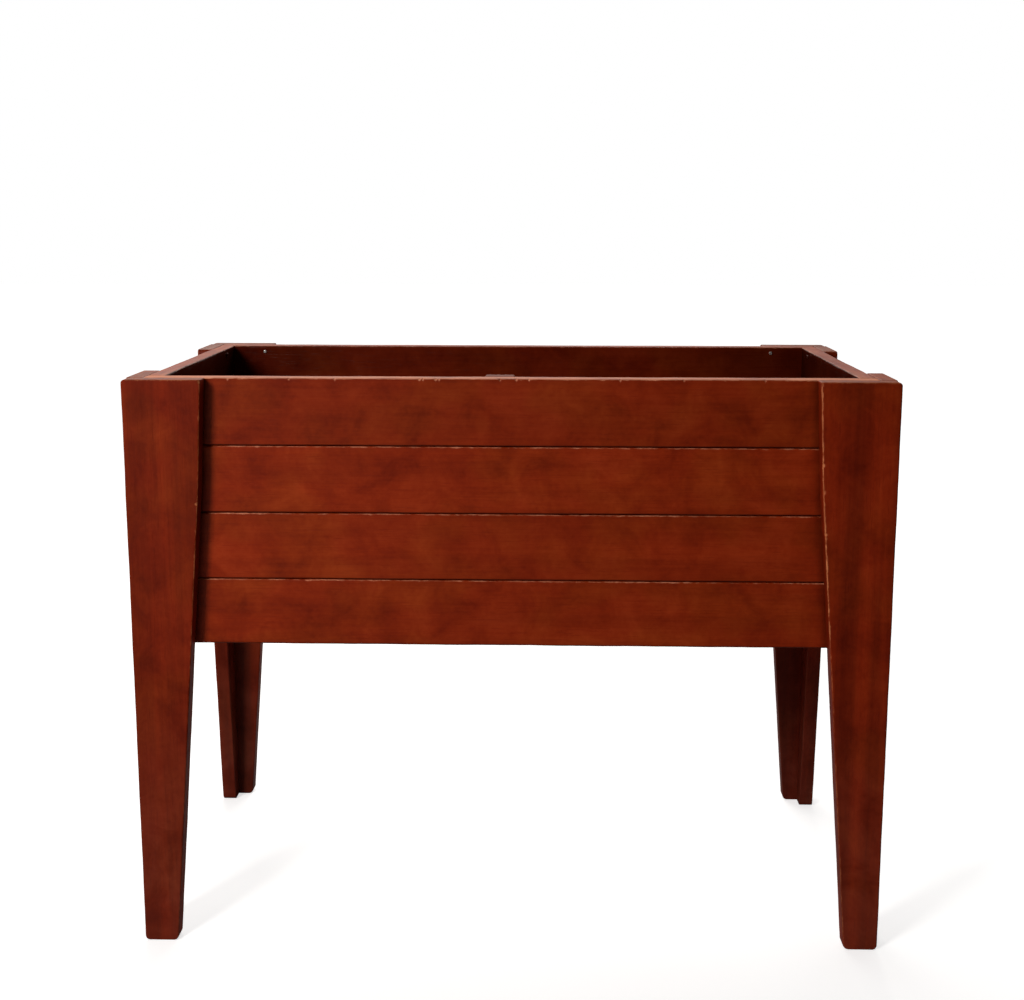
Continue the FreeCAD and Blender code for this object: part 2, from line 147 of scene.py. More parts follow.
# On the tops the stain is thinned: partly real wear, partly a painted sheen for the pale
# reflection they show at a grazing view.
FRONT_RIM_THINNING_AND_SHEEN = 0.85
OTHER_RIM_THINNING_AND_SHEEN = 0.24
HANDLED_REACH = 110 * MM
HANDLED_THINNING = 1.3
# This leg's inner arris is worn paler than the others: partly real wear, partly a painted
# highlight where it catches the light from the left.
WORN_AND_LIT_LEG = "front_right_leg_front_board"
WORN_AND_LIT_LEG_WEAR = 1.25
LEG_INNER_WEAR = 0.5
LEG_OUTER_WEAR = 0.3
LEG_BACK_WEAR = 0.12
LEG_END_WEAR = 0.35
# The legs' and battens' tops too: partly real wear, partly a painted sheen.
LEG_END_THINNING_AND_SHEEN = 0.35
BATTEN_END_THINNING_AND_SHEEN = 0.2
FLOOR_WEAR = 0.3
FLOOR_END_WEAR = 0.4
CHIP_REACH = 3.2 * MM
CHIP_HOLLOW = 1.2
TIMBER_SPECULAR = 0.08

# The studio's brightness, as the camera sees it and as it lights the planter.
FLOOR_GLOW = 0.66
FAR_FLOOR_GLOW = 0.94
GLOW_DISTANCES = (1.0, 3.8)
FLOOR_BOUNCE = 0.40
FLOOR_HALF_SIZE = 14.0
FLOOR_SQUARES = 48
WHITE = (1.0, 1.0, 1.0, 1.0)
WORLD_COLOUR = (1.0, 0.985, 0.965, 1.0)
WORLD_FRONT = 0.02
WORLD_BACK = 0.56
WORLD_TURN = (-0.1, 0.85)
LAMP_COLOUR = (1.0, 0.97, 0.93)
# Each lamp's place, what it is aimed at, its size in metres, and its power in watts.
LAMPS = {
    "key": ((-1.27, -1.66, 1.50), (0.0, 0.0, 0.42), (0.5, 0.6), 24),
    "low_fill": ((-0.9, -2.3, 0.20), (0.2, 0.0, 0.0), (1.2, 0.4), 3.6),
    "back": ((-0.3, 2.0, 2.1), (0.0, 0.0, 0.6), (2.2, 0.9), 36),
}

# The camera.
CAMERA_PLACE = (42.5 * MM, -1646.5 * MM, 891 * MM)
CAMERA_YAW = -0.0233
CAMERA_PITCH = 0.1495
CAMERA_ROLL = 0.0010
CAMERA_LENS = 44.4
CAMERA_SENSOR = 36
CAMERA_RANGE = (0.05, 100)
CAMERA_SHIFT = (-0.0046, -0.0947)


class Waves:
    """A smooth, repeatable unevenness between 0 and 1."""

    def __init__(self, random, wavelengths=(0.31, 0.13, 0.057), weights=(1.0, 0.6, 0.3)):
        self.terms = [
            (weight, 2 * math.pi / length, random.uniform(-3.5, 3.5), random.uniform(0, 6.28))
            for weight, length in zip(weights, wavelengths)
        ]
        self.total = sum(weights)

    def __call__(self, along, across=0.0):
        value = 0.0
        for weight, rate, slant, phase in self.terms:
            value = value + weight * np.sin(rate * (along + slant * across) + phase)
        return 0.5 + 0.5 * value / self.total


def round_in(distance, radius):
    """How far a corner's round draws a side in, at a distance from the end it starts at."""
    reach = np.clip(radius - distance, 0.0, radius)
    return radius - np.sqrt(np.maximum(radius**2 - reach**2, 0.0))


def leg_width(height):
    heights = [0.0, LEG_KNEE_HEIGHT, cad_bounds[1][Z]]
    return np.interp(height, heights, [LEG_FOOT_WIDTH, LEG_KNEE_WIDTH, LEG_TOP_WIDTH])


class Board:
    """One board of the frame, in lengths of its own: s along its grain, u across, v through.

    Its arrises count round the section: low u and low v, high u and low v, both high, and low u
    and high v. It has wear for each arris, with painted light in it: below 0 it is painted shade
    in a seam, and on the right front leg's inner arris it is partly a painted highlight. It has a
    tone with painted shade for its low v and its high v face.
    """

    def __init__(self, node, axes, seed, wear_and_painted_light, end_wear, tone_and_painted_shade, chips=()):
        low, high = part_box(node)
        self.node = node
        self.axes = axes
        self.low = np.array([low[axis] for axis in axes])
        self.high = np.array([high[axis] for axis in axes])
        self.random = np.random.default_rng(seed)
        self.chips = chips
        self.wear_and_painted_light = np.array(wear_and_painted_light)
        self.end_wear = end_wear
        self.tone_and_painted_shade = tone_and_painted_shade
        self.edge_painted_shade = 1.0
        self.top_wear_and_sheen = 0.0
        self.end_thinning_and_sheen = 0.0
        self.dust_height = 0.0

    def limits(self, s):
        """The section's low u, high u, low v and high v at places along the board."""
        ones = np.ones_like(s)
        return np.array([self.low[1] * ones, self.high[1] * ones,
                         self.low[2] * ones, self.high[2] * ones])

    def stations(self):
        """Places along the board: closer at its ends, for their rounding, and at chips."""
        length = self.high[0] - self.low[0]
        ends = [ARRIS_RADIUS * (1 - math.cos(turn)) for turn in np.linspace(0, math.pi / 2, 5)]
        ends += [ARRIS_RADIUS + SUPPORT]
        ends += [CORNER_RADIUS * part for part in (0.6, 0.8, 1.0)]
        count = max(2, round((length - 2 * CORNER_RADIUS) / STATION_STEP))
        places = list(np.linspace(CORNER_RADIUS, length - CORNER_RADIUS, count))
        places += ends + [length - place for place in ends]
        for chip in self.chips:
            spread = np.linspace(-1.0, 1.0, 11) * chip["size"]
            places += list(chip["along"] - self.low[0] + spread)
        places = np.unique(np.round(np.clip(places, 0.0, length), 6))
        kept = [places[0]]
        for place in places[1:-1]:
            if place - kept[-1] > STATION_GAP and places[-1] - place > STATION_GAP:
                kept.append(place)
        return self.low[0] + np.array(kept + [places[-1]])

    def ring(self, s, inset, radii, counts):
        """The points of the section, a rounded rectangle, from its low corner round."""
        low_u, high_u, low_v, high_v = self.limits(np.array(s))
        low_u, low_v, high_u, high_v = low_u + inset, low_v + inset, high_u - inset, high_v - inset
        corners = ((low_u, low_v, 1, 1), (high_u, low_v, -1, 1),
                   (high_u, high_v, -1, -1), (low_u, high_v, 1, -1))
        arcs = []
        for index, (u, v, to_u, to_v) in enumerate(corners):
            start = math.pi + index * math.pi / 2
            arcs.append([
                (u + radii[index] * (to_u + math.cos(turn)),
                 v + radii[index] * (to_v + math.sin(turn)))
                for turn in np.linspace(start, start + math.pi / 2, ARC_STEPS + 1)
            ])
        points = []
        for index, arc in enumerate(arcs):
            points += arc
            begin, end = np.array(arc[-1]), np.array(arcs[(index + 1) % 4][0])
            side = max(np.linalg.norm(end - begin), 1e-9)
            rows = np.array(EDGE_ROWS) * min(1.0, side / (4 * EDGE_ROWS[-1])) / side
            inner = np.linspace(rows[-1], 1 - rows[-1], counts[index % 2])[1:-1]
            for part in [*rows, *inner, *(1 - rows[::-1])]:
                points.append(tuple(begin + (end - begin) * part))
        return np.array([(s, u, v) for u, v in points])

    def rings(self):
        places = self.stations()
        waves = [Waves(self.random, (0.17, 0.061, 0.023)) for _ in range(4)]
        section = self.high - self.low
        counts = (max(3, round(section[1] / FACE_STEP) + 1),
                  max(3, round(section[2] / FACE_STEP) + 1))
        rings = []
        for index, s in enumerate([places[0], *places, places[-1]]):
            to_end = min(s - places[0], places[-1] - s)
            inset = float(round_in(to_end, ARRIS_RADIUS))
            if index in (0, len(places) + 1):
                inset += SUPPORT
            radii = [
                max(ARRIS_RADIUS * (1 + ARRIS_WANDER * (2 * wave(s) - 1)) - inset, 0.25 * MM)
                for wave in waves
            ]
            rings.append(self.ring(s, inset, radii, counts))
        return rings

    def parts(self, lengths):
        """How far across and through the section each point is, from 0 to 1."""
        low_u, high_u, low_v, high_v = self.limits(lengths[:, 0])
        part_u = (lengths[:, 1] - low_u) / (high_u - low_u)
        part_v = (lengths[:, 2] - low_v) / (high_v - low_v)
        return np.clip(part_u, 0, 1), np.clip(part_v, 0, 1)

    def chip_fall(self, chip, lengths):
        """How much of a chip each point takes, and the way in from its corner."""
        low_u, high_u, low_v, high_v = self.limits(np.array(chip["along"]))
        at_high_u, at_high_v = chip["corner"] in (1, 2), chip["corner"] in (2, 3)
        u = high_u if at_high_u else low_u
        v = high_v if at_high_v else low_v
        along = (lengths[:, 0] - chip["along"]) / chip["size"]
        off_u = (lengths[:, 1] - u) / chip["reach"]
        off_v = (lengths[:, 2] - v) / chip["reach"]
        fall = np.clip(1 - along**2 - off_u**2 - off_v**2, 0, 1)
        return fall, -1 if at_high_u else 1, -1 if at_high_v else 1

    def roughen(self, lengths):
        """Draws the faces in and out by parts of a millimetre, and takes the chips out."""
        s, u, v = lengths.T
        part_u, part_v = self.parts(lengths)
        waves = [Waves(self.random) for _ in range(4)]
        moved = lengths.copy()
        moved[:, 2] += UNEVENNESS * (waves[0](s, u) * (1 - part_v) - waves[1](s, u) * part_v)
        moved[:, 1] += UNEVENNESS * (waves[2](s, v) * (1 - part_u) - waves[3](s, v) * part_u)
        for chip in self.chips:
            fall, way_u, way_v = self.chip_fall(chip, lengths)
            moved[:, 1] += way_u * chip["depth"] * fall**CHIP_HOLLOW
            moved[:, 2] += way_v * chip["depth"] * fall**CHIP_HOLLOW
        return moved

    def build(self, material, seats):
        """Makes the piece, drills it, and notes on its points what its material needs."""
        rings = self.rings()
        lengths = self.roughen(np.concatenate(rings))
        size = len(rings[0])
        faces = []
        for ring in range(len(rings) - 1):
            for step in range(size):
                first, second = ring * size + step, ring * size + (step + 1) % size
                faces.append((first, second, second + size, first + size))
        faces.append(tuple(reversed(range(size))))
        faces.append(tuple(range((len(rings) - 1) * size, len(rings) * size)))
        points = np.empty_like(lengths)
        points[:, list(self.axes)] = lengths
        mesh = bpy.data.meshes.new(f"{self.node}_timber")
        mesh.from_pydata(points.tolist(), [], faces)
        piece = link_piece(f"{self.node}_timber", mesh)
        if seats:
            drill(piece, seats)
        self.note_on(piece.data)
        point_outwards(piece.data)
        paint(piece, material)
        return piece

    def tuck(self, s, u):
        """How much painted shade darkens this board where it goes under a leg: 1 is not at all."""
        return np.ones_like(s)

    def fade(self, s):
        """How much of its arrises' wear a board has at places along it."""
        return np.ones_like(s)

    def wear_and_painted_light_at(self, lengths, to_end):
        """How far the stain is rubbed through on the arris nearest to each point; below 0, how
        much painted shade darkens it. On one leg's arris it is partly a painted highlight.
        """
        part_u, part_v = self.parts(lengths)
        corner = np.where(part_v > 0.5, np.where(part_u > 0.5, 2, 3), np.where(part_u > 0.5, 1, 0))
        worn_and_painted_light = np.where(to_end <= 1.5 * ARRIS_RADIUS, self.end_wear, self.wear_and_painted_light[corner])
        return worn_and_painted_light * self.fade(lengths[:, 0])

    def chipped_at(self, lengths):
        """How bare the timber is in a chip."""
        chipped = np.zeros(len(lengths))
        for chip in self.chips:
            chipped = np.maximum(chipped, self.chip_fall(chip, lengths)[0])
        return np.clip(chipped * 2.2, 0, 0.9)

    def thinned_and_sheen_at(self, lengths, to_end):
        """How thin the stain has got on the top, partly real wear and partly a painted sheen: most
        where the box is lifted, at its ends.
        """
        high_u = self.limits(lengths[:, 0])[1]
        on_top = high_u - lengths[:, 1] < FACE_DEPTH
        on_end = self.high[0] - lengths[:, 0] < FACE_DEPTH
        handled = 1 + HANDLED_THINNING * np.clip(1 - to_end / HANDLED_REACH, 0, 1)
        return np.maximum(self.top_wear_and_sheen * handled * on_top, self.end_thinning_and_sheen * on_end)

    def painted_shade_at(self, lengths, to_end):
        """How much painted shade darkens the colour inside, in corners, beside legs and on rear
        legs: 1 is as outside.
        """
        low_v, high_v = self.limits(lengths[:, 0])[2:]
        s, u, v = lengths.T
        low_face, high_face = v - low_v < FACE_DEPTH, high_v - v < FACE_DEPTH
        face_painted_shade = np.where(high_face, self.tone_and_painted_shade[1], self.tone_and_painted_shade[0])
        # Painted shade in the inside corners: inner faces get darker towards a board's ends.
        from_corner = np.clip(to_end / CORNER_REACH, 0, 1)**1.3
        corner_painted_shade = CORNER_PAINTED_SHADE + (1 - CORNER_PAINTED_SHADE) * from_corner
        has_painted_shade = face_painted_shade < PAINTED_SHADE_FACE
        face_painted_shade = face_painted_shade * np.where(has_painted_shade, corner_painted_shade, self.tuck(s, u))
        return np.where(low_face | high_face, face_painted_shade, self.edge_painted_shade)

    def note_on(self, mesh):
        points = np.empty(len(mesh.vertices) * 3, dtype=np.float32)
        mesh.vertices.foreach_get("co", points)
        points = points.reshape(-1, 3)
        lengths = points[:, list(self.axes)].astype(float)
        low_u, high_u, low_v, high_v = self.limits(lengths[:, 0])
        s, u, v = lengths.T
        to_end = np.minimum(s - self.low[0], self.high[0] - s)
        gaps = np.column_stack([
            np.minimum(u - low_u, high_u - u), np.minimum(v - low_v, high_v - v), to_end
        ])
        add_note(mesh, "grain", lengths + self.random.uniform(0, 30, 3))
        add_note(mesh, "arris", np.sort(gaps, axis=1)[:, 1] / MM)
        add_note(mesh, "worn_and_painted_light", self.wear_and_painted_light_at(lengths, to_end))
        add_note(mesh, "thinned_and_sheen", self.thinned_and_sheen_at(lengths, to_end))
        dust_height = max(self.dust_height, LEAST_DUST_HEIGHT)
        add_note(mesh, "dust", np.clip(1 - points[:, Z] / dust_height, 0, 1))
        add_note(mesh, "chipped", self.chipped_at(lengths))
        add_note(mesh, "end", np.clip(1 - to_end / ARRIS_RADIUS, 0, 1))
        tone_and_painted_shade = self.painted_shade_at(lengths, to_end)
        # The tone with painted shade, times a random tone for each board.
        add_note(mesh, "tone_and_painted_shade", tone_and_painted_shade * self.random.uniform(0.94, 1.06))


class WallBoard(Board):
    """A wall's board: painted shade darkens it beside the legs it goes under."""

    def tuck(self, s, u):
        corner = cad_bounds[1][self.axes[0]]
        gap = corner - leg_width(u) - np.abs(s)
        return TUCK_PAINTED_SHADE + (1 - TUCK_PAINTED_SHADE) * np.clip(gap / TUCK_REACH, 0, 1)


class LegBoard(Board):
    """A leg's board: straight on its outer side, tapered on its inner one."""

    def __init__(self, node, axes, seed, inner_is_high, is_face_board, **finish):
        super().__init__(node, axes, seed, **finish)
        self.inner_is_high = inner_is_high
        self.is_face_board = is_face_board

    def limits(self, s):
        low_u, high_u, low_v, high_v = super().limits(s)
        foot = round_in(s - self.low[0], CORNER_RADIUS)
        inner = LEG_TOP_WIDTH - leg_width(s) + foot
        outer = foot + round_in(self.high[0] - s, TOP_RADIUS)
        if not self.is_face_board:
            inner = inner + round_in(self.high[0] - s, CORNER_RADIUS)
            outer = foot * 0
        if self.inner_is_high:
            return np.array([low_u + outer, high_u - inner, low_v, high_v])
        return np.array([low_u + inner, high_u - outer, low_v, high_v])

    def fade(self, s):
        """Hands and tools rub a leg beside the box, and hardly below it."""
        return np.interp(s, RUBBED_HEIGHTS, (LEAST_RUBBED, 1.0))


def link_piece(name, mesh):
    piece = bpy.data.objects.new(name, mesh)
    bpy.context.scene.collection.objects.link(piece)
    return piece


def paint(piece, material):
    """Gives the whole piece one material."""
    piece.data.materials.clear()
    piece.data.materials.append(material)
    piece.data.polygons.foreach_set("material_index", [0] * len(piece.data.polygons))


def add_note(mesh, name, values):
    """Stores one value or vector for each point of a mesh, for its material to read."""
    values = np.asarray(values, dtype=np.float32)
    kind, field = ("FLOAT_VECTOR", "vector") if values.ndim == 2 else ("FLOAT", "value")
    layer = mesh.attributes.new(name, kind, "POINT")
    layer.data.foreach_set(field, values.ravel())


def point_outwards(mesh):
    """Turns every face outwards, and smooths all but the sharp edges."""
    shape = bmesh.new()
    shape.from_mesh(mesh)
    bmesh.ops.recalc_face_normals(shape, faces=shape.faces)
    shape.to_mesh(mesh)
    shape.free()
    mesh.polygons.foreach_set("use_smooth", [True] * len(mesh.polygons))
    mesh.set_sharp_from_angle(angle=SHARP_ANGLE)


def add_turned(shape, start, direction, steps):
    """Adds a closed turned solid to a bmesh. Steps are (distance along, radius) pairs."""
    turn = direction.to_track_quat("Z", "Y").to_matrix()
    rings = []
    for distance, radius in steps:
        rings.append([
            shape.verts.new(start + turn @ Vector((
                radius * math.cos(2 * math.pi * index / ROUND_SEGMENTS),
                radius * math.sin(2 * math.pi * index / ROUND_SEGMENTS),
                distance,
            )))
            for index in range(ROUND_SEGMENTS)
        ])
    for low, high in zip(rings, rings[1:]):
        for index in range(ROUND_SEGMENTS):
            following = (index + 1) % ROUND_SEGMENTS
            shape.faces.new((low[index], low[following], high[following], high[index]))
    shape.faces.new(list(reversed(rings[0])))
    shape.faces.new(rings[-1])


def cut(piece, shape):
    """Takes the solids of a bmesh out of a piece, and leaves no modifier behind."""
    bmesh.ops.recalc_face_normals(shape, faces=shape.faces)
    mesh = bpy.data.meshes.new("cutter")
    shape.to_mesh(mesh)
    shape.free()
    tool = link_piece("cutter", mesh)
    change = piece.modifiers.new("cut", "BOOLEAN")
    change.operation = "DIFFERENCE"
    change.solver = "MANIFOLD"
    change.object = tool
    depsgraph = bpy.context.evaluated_depsgraph_get()
    result = bpy.data.meshes.new_from_object(piece.evaluated_get(depsgraph))
    piece.modifiers.clear()
    whole, piece.data = piece.data, result
    bpy.data.meshes.remove(whole)
    result.name = piece.name
    bpy.data.objects.remove(tool)
    bpy.data.meshes.remove(mesh)


def drill(piece, seats):
    """Cuts round seats out of a piece."""
    shape = bmesh.new()
    for start, direction, steps in seats:
        add_turned(shape, start, direction, steps)
    cut(piece, shape)


class Screw:
    """One screw of a CAD group: where its head's top is, which way it goes, and how far."""

    def __init__(self, points):
        low, high = points.min(axis=0), points.max(axis=0)
        along = int(np.argmax(high - low))
        middle = (low + high) / 2
        spread = np.linalg.norm(np.delete(points - middle, along, axis=1), axis=1)
        self.head_radius = spread.max()
        head_level = points[spread > 0.98 * spread.max()][:, along].mean()
        head_is_high = head_level > middle[along]
        top, tip = Vector(middle), Vector(middle)
        top[along] = high[along] if head_is_high else low[along]
        tip[along] = low[along] if head_is_high else high[along]
        self.top = top
        self.length = (tip - top).length
        self.direction = (tip - top).normalized()
        self.is_round = self.head_radius < LARGEST_ROUND_HEAD
        self.shank_radius = ROUND_SHANK if self.is_round else SUNK_SHANK
        sunk_height = self.head_radius - self.shank_radius
        self.head_height = ROUND_HEAD_HEIGHT if self.is_round else sunk_height

    def seat(self):
        """What a drill takes out for this screw."""
        hole = self.shank_radius + CLEARANCE
        deep = self.length + POINT_ROOM
        if self.is_round:
            steps = [(self.head_height - 3 * MM, hole), (deep, hole)]
        else:
            mouth = self.head_radius + SINK_CLEARANCE
            steps = [(-1 * MM, mouth + SINK_FLARE), (-0.2 * MM, mouth),
                     (mouth - hole - 0.2 * MM, hole), (deep, hole)]
        return self.top, self.direction, steps

    def passes(self, low, high):
        """Whether this screw goes into a board's box."""
        for part in (0.12, 0.45, 0.9):
            place = self.top + self.direction * self.length * part
            if all(low[axis] < place[axis] < high[axis] for axis in (X, Y, Z)):
                return True
        return False


def screws_of(node):
    """The screws of a CAD group, found as the separate solids of its mesh."""
    shape = bmesh.new()
    shape.from_mesh(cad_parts[node].data)
    bmesh.ops.remove_doubles(shape, verts=shape.verts, dist=0.005 * MM)
    shape.verts.ensure_lookup_table()
    waiting = set(shape.verts)
    found = []
    while waiting:
        island, border = [], [waiting.pop()]
        while border:
            vertex = border.pop()
            island.append(vertex.co[:])
            for edge in vertex.link_edges:
                other = edge.other_vert(vertex)
                if other in waiting:
                    waiting.remove(other)
                    border.append(other)
        found.append(Screw(np.array(island)))
    shape.free()
    return sorted(found, key=lambda screw: tuple(round(part, 5) for part in screw.top))


SCREW_NODES = sorted(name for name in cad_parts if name.endswith("screws"))
SCREWS = {node: screws_of(node) for node in SCREW_NODES}


def seats_in(node):
    low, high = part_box(node)
    every = [screw for group in SCREWS.values() for screw in group]
    return [screw.seat() for screw in every if screw.passes(low, high)]


# Materials.

class Shader:
    """A node material under construction."""

    def __init__(self, name):
        self.material = bpy.data.materials.new(name)
        self.material.use_nodes = True
        self.tree = self.material.node_tree
        self.tree.nodes.clear()

    def add(self, kind, **values):
        """Adds a node. Values are settings where the node has them, and sockets if not."""
        node = self.tree.nodes.new(kind)
        for name, value in values.items():
            if hasattr(node, name):
                setattr(node, name, value)
        for name, value in values.items():
            if hasattr(node, name):
                continue
            socket = node.inputs[name.replace("_", " ")]
            if isinstance(value, bpy.types.NodeSocket):
                self.tree.links.new(value, socket)
            else:
                socket.default_value = value
        return node

    def note(self, name):
        node = self.add("ShaderNodeAttribute", attribute_name=name)
        return node.outputs["Vector" if name == "grain" else "Fac"]

    def math(self, operation, *values, clamp=False):
        node = self.add("ShaderNodeMath", operation=operation, use_clamp=clamp)
        for socket, value in zip(node.inputs, values):
            if isinstance(value, bpy.types.NodeSocket):
                self.tree.links.new(value, socket)
            else:
                socket.default_value = value
        return node.outputs[0]

    def scaled(self, vector, scale):
        node = self.add("ShaderNodeVectorMath", operation="MULTIPLY")
        self.tree.links.new(vector, node.inputs[0])
        node.inputs[1].default_value = scale
        return node.outputs[0]

    def noise(self, vector, scale, detail=2.0, roughness=0.5, distortion=0.0):
        """Noise with this many cycles a metre along, across and through the board."""
        node = self.add("ShaderNodeTexNoise", Vector=self.scaled(vector, scale), Scale=1.0,
                        Detail=detail, Roughness=roughness, Distortion=distortion)
        return node.outputs["Fac"]

    def between(self, value, low, high, to_low=0.0, to_high=1.0):
        """Takes values from low to high smoothly over to the other range."""
        node = self.add("ShaderNodeMapRange", clamp=True, interpolation_type="SMOOTHSTEP")
        self.tree.links.new(value, node.inputs["Value"])
        for name, number in (("From Min", low), ("From Max", high),
                             ("To Min", to_low), ("To Max", to_high)):
            node.inputs[name].default_value = number
        return node.outputs["Result"]

    def ramp(self, value, stops):
        node = self.add("ShaderNodeValToRGB")
        elements = node.color_ramp.elements
        while len(elements) < len(stops):
            elements.new(0.5)
        for element, (place, colour) in zip(elements, stops):
            element.position = place
            element.color = (*colour, 1.0)
        self.tree.links.new(value, node.inputs["Fac"])
        return node.outputs["Color"]

    def mix(self, factor, first, second, blend="MIX"):
        node = self.add("ShaderNodeMix", data_type="RGBA", blend_type=blend)
        for index, value in ((0, factor), (6, first), (7, second)):
            if isinstance(value, bpy.types.NodeSocket):
                self.tree.links.new(value, node.inputs[index])
            elif index == 0:
                node.inputs[0].default_value = value
            else:
                node.inputs[index].default_value = (*value, 1.0)
        return node.outputs[2]

    def bump(self, height, distance, strength, normal=None):
        node = self.add("ShaderNodeBump", Height=height, Distance=distance, Strength=strength)
        if normal is not None:
            self.tree.links.new(normal, node.inputs["Normal"])
        return node.outputs["Normal"]

    def finish(self, **sockets):
        surface = self.add("ShaderNodeBsdfPrincipled")
        for name, value in sockets.items():
            socket = surface.inputs[name.replace("_", " ")]
            if isinstance(value, bpy.types.NodeSocket):
                self.tree.links.new(value, socket)
            elif isinstance(value, tuple):
                socket.default_value = (*value, 1.0)
            else:
                socket.default_value = value
        self.add("ShaderNodeOutputMaterial", Surface=surface.outputs[0])
        return self.material

    def tinted(self, colour, red, green, blue):
        """A colour times another, given by its parts."""
        tint = self.add("ShaderNodeCombineColor", Red=red, Green=green, Blue=blue)
        return self.mix(1.0, colour, tint.outputs[0], "MULTIPLY")


def grey(value):
    return (value, value, value)


def clouded_stain(s, grain, blotch, fibre, pore, colours, bands):
    """The stain's colour: blotches, flame, fibres and pores, darker end grain, then painted shade,
    then bands and clouds.
    """
    shadow, stain, glow = colours
    flame = s.noise(grain, (3.0, 46.0, 46.0), detail=3.0, roughness=0.6, distortion=0.8)
    speckle = s.noise(grain, (170.0, 170.0, 170.0), roughness=0.6)
    level = s.math("MULTIPLY", blotch, 0.58)
    level = s.math("MULTIPLY_ADD", flame, 0.14, level)
    level = s.math("MULTIPLY_ADD", fibre, 0.15, level)
    level = s.math("MULTIPLY_ADD", speckle, 0.13, level)
    colour = s.ramp(level, [(0.36, shadow), (0.50, stain), (0.64, glow)])
    colour = s.mix(s.math("MULTIPLY", pore, 0.35), colour, shadow)
    colour = s.mix(s.math("MULTIPLY", s.note("end"), 0.35), colour, shadow)
    # Painted shade: darker inside the planter, in its corners, beside the legs and on the rear
    # legs.
    tone_and_painted_shade = s.note("tone_and_painted_shade")
    colour = s.tinted(colour, tone_and_painted_shade, tone_and_painted_shade, tone_and_painted_shade)
    band = s.noise(grain, (1.2, 30.0, 30.0))
    tone = s.between(band, 0.36, 0.64, 1.0 - bands, 1.0 + 0.5 * bands)
    colour = s.tinted(colour, tone, tone, tone)
    cloud = s.noise(grain, (11.0, 13.0, 13.0))
    return s.tinted(colour, 1.0, s.between(cloud, 0.40, 0.62, 0.94, 1.13), 1.0)


def wear_and_painted_light_masks(s, grain, arris):
    """Where the stain is rubbed through, partly painted sheen and highlight, and where painted
    shade darkens a seam.
    """
    worn_and_painted_light = s.note("worn_and_painted_light")
    ragged = s.noise(grain, (85.0, 260.0, 260.0), detail=3.0, roughness=0.75)
    reach = s.math("MULTIPLY_ADD", ragged, -5.2, s.math("ADD", arris, 2.6))
    wider = s.math("MAXIMUM", s.math("SUBTRACT", worn_and_painted_light, 1.0), 0.0)
    reach = s.math("MULTIPLY_ADD", wider, -2.0, reach)
    rubbed_and_painted_light = s.math("MULTIPLY", s.between(reach, 0.0, 1.6, 1.0, 0.0), worn_and_painted_light, clamp=True)
    rubbed_and_painted_light = s.math("MAXIMUM", rubbed_and_painted_light, s.note("chipped"))
    rubbed_and_painted_light = s.math("MAXIMUM", rubbed_and_painted_light, s.note("thinned_and_sheen"))
    patchy = s.between(s.noise(grain, (22.0, 90.0, 90.0)), 0.30, 0.62, 0.45, 1.0)
    rubbed_and_painted_light = s.math("MULTIPLY", rubbed_and_painted_light, patchy, clamp=True)
    in_seam = s.between(arris, 0.5, 2.6, 1.0, 0.0)
    seam_shade = s.math("MULTIPLY", in_seam, s.math("MULTIPLY", worn_and_painted_light, -1.0), clamp=True)
    return rubbed_and_painted_light, seam_shade


def stained_timber(name, shadow, stain, glow, worn_and_painted_light_colour, roughness, bands):
    """Satin mahogany stain over a plain-sawn board, worn through along its arrises, with painted
    shade, sheen and highlight in its colour.
    """
    s = Shader(name)
    grain, arris = s.note("grain"), s.note("arris")
    blotch = s.noise(grain, (20.0, 19.0, 19.0), detail=4.0, roughness=0.6, distortion=0.5)
    fibre = s.noise(grain, (9.0, 260.0, 260.0), detail=3.0, roughness=0.65)
    pore = s.between(s.noise(grain, (38.0, 900.0, 900.0), detail=1.0), 0.60, 0.72)
    colour = clouded_stain(s, grain, blotch, fibre, pore, (shadow, stain, glow), bands)
    rubbed_and_painted_light, seam_shade = wear_and_painted_light_masks(s, grain, arris)

    # Stain gathers just inside an arris. Painted seam shade, bare timber and dust lie over it; the
    # bare timber's colour also paints a sheen on the tops and a highlight on one leg's arris.
    colour = s.mix(s.between(arris, 1.2, 7.0, 0.16, 0.0), colour, shadow)
    colour = s.mix(seam_shade, colour, SEAM_SHADE_COLOUR)
    colour = s.mix(rubbed_and_painted_light, colour, worn_and_painted_light_colour)
    dust = s.math("MULTIPLY", s.note("dust"), s.between(blotch, 0.35, 0.65, 0.03, 0.07))
    colour = s.mix(dust, colour, DUST)

    # The inside, kept from the weather, is smoother than the outside.
    rough = s.math("MULTIPLY_ADD", fibre, 0.14, roughness - 0.07)
    rough = s.math("MULTIPLY_ADD", blotch, 0.12, s.math("SUBTRACT", rough, 0.06))
    rough = s.math("MULTIPLY", rough, s.between(s.note("tone_and_painted_shade"), 0.0, 1.0, 0.48, 1.0))
    rough = s.math("MULTIPLY_ADD", rubbed_and_painted_light, 0.18, rough, clamp=True)

    relief = s.math("MULTIPLY_ADD", pore, -0.9, s.math("MULTIPLY", fibre, 0.9))
    normal = s.bump(relief, 0.09 * MM, 0.75)
    ripple = s.noise(grain, (14.0, 34.0, 34.0))
    normal = s.bump(ripple, 0.35 * MM, 0.5, normal)
    return s.finish(Base_Color=colour, Roughness=rough, Normal=normal,
                    Specular_IOR_Level=TIMBER_SPECULAR)


